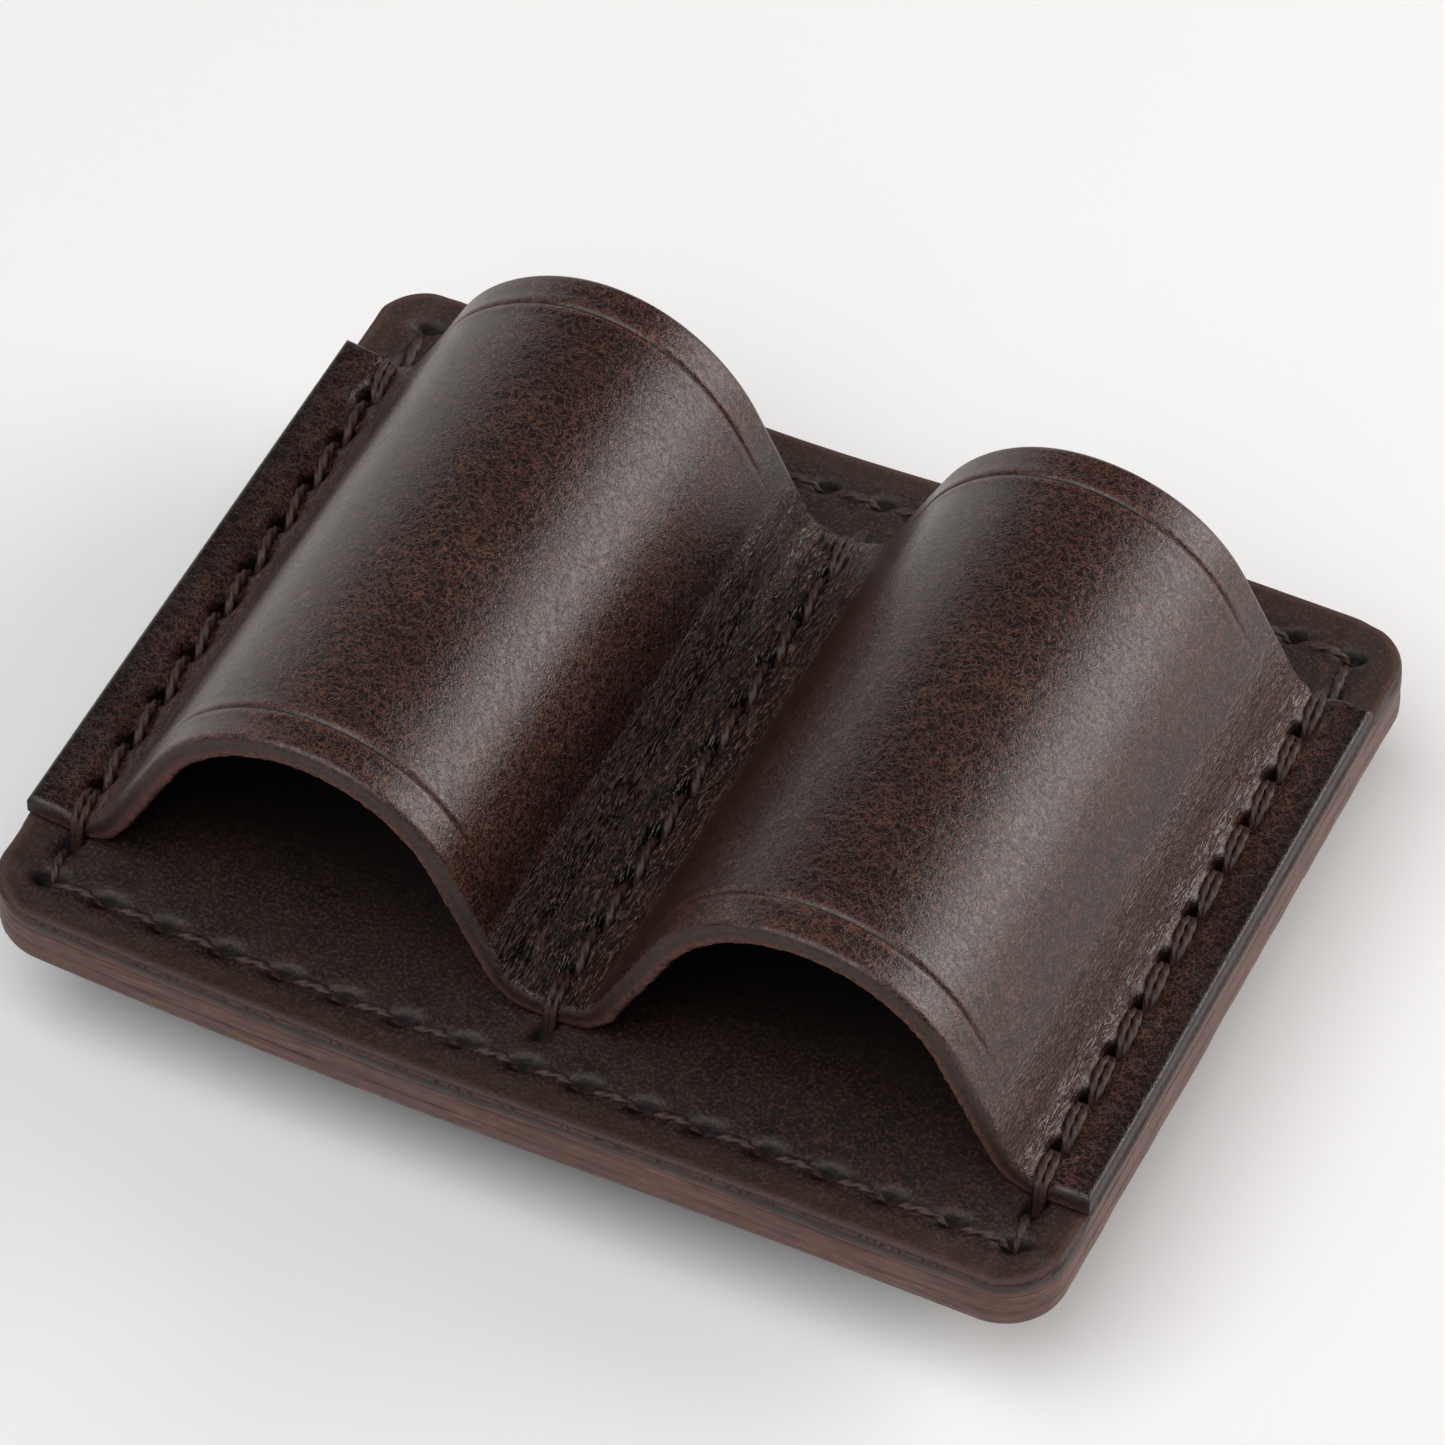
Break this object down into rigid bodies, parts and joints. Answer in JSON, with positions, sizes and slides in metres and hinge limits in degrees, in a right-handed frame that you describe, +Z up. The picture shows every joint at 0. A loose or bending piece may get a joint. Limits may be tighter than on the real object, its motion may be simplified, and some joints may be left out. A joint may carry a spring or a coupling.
{
  "type": "moulded leather twin-tube holder",
  "caption": "Small dark brown leather holder: open-ended arched tunnels moulded side by side, saddle-stitched to a flat layered plate with a belt loop behind.",
  "frame": {"origin": "under the middle of the plate, on the surface that the back loop's band rests on", "axes": "+X to the right along the plate's front edge, +Y from the front mouths to the rear mouths, +Z up out of the plate, through the tunnels' crests"},
  "size_m": [0.0706, 0.0574, 0.0259],
  "materials": {
    "cover_leather": "satin waxed pull-up",
    "panel_leather": "smooth, burnished reddish-brown edges",
    "core_leather": "burnished edge",
    "loop_leather": "satin waxed",
    "waxed_thread": "waxed twisted thread"
  },
  "bodies": {
    "root": {"moulded_cover": "cover_leather", "front_panel": "panel_leather", "middle_layer": "core_leather", "back_panel": "panel_leather", "back_loop": "loop_leather", "perimeter_thread": "waxed_thread", "centre_thread": "waxed_thread", "loop_thread_front": "waxed_thread", "loop_thread_rear": "waxed_thread"}
  },
  "joints": []
}
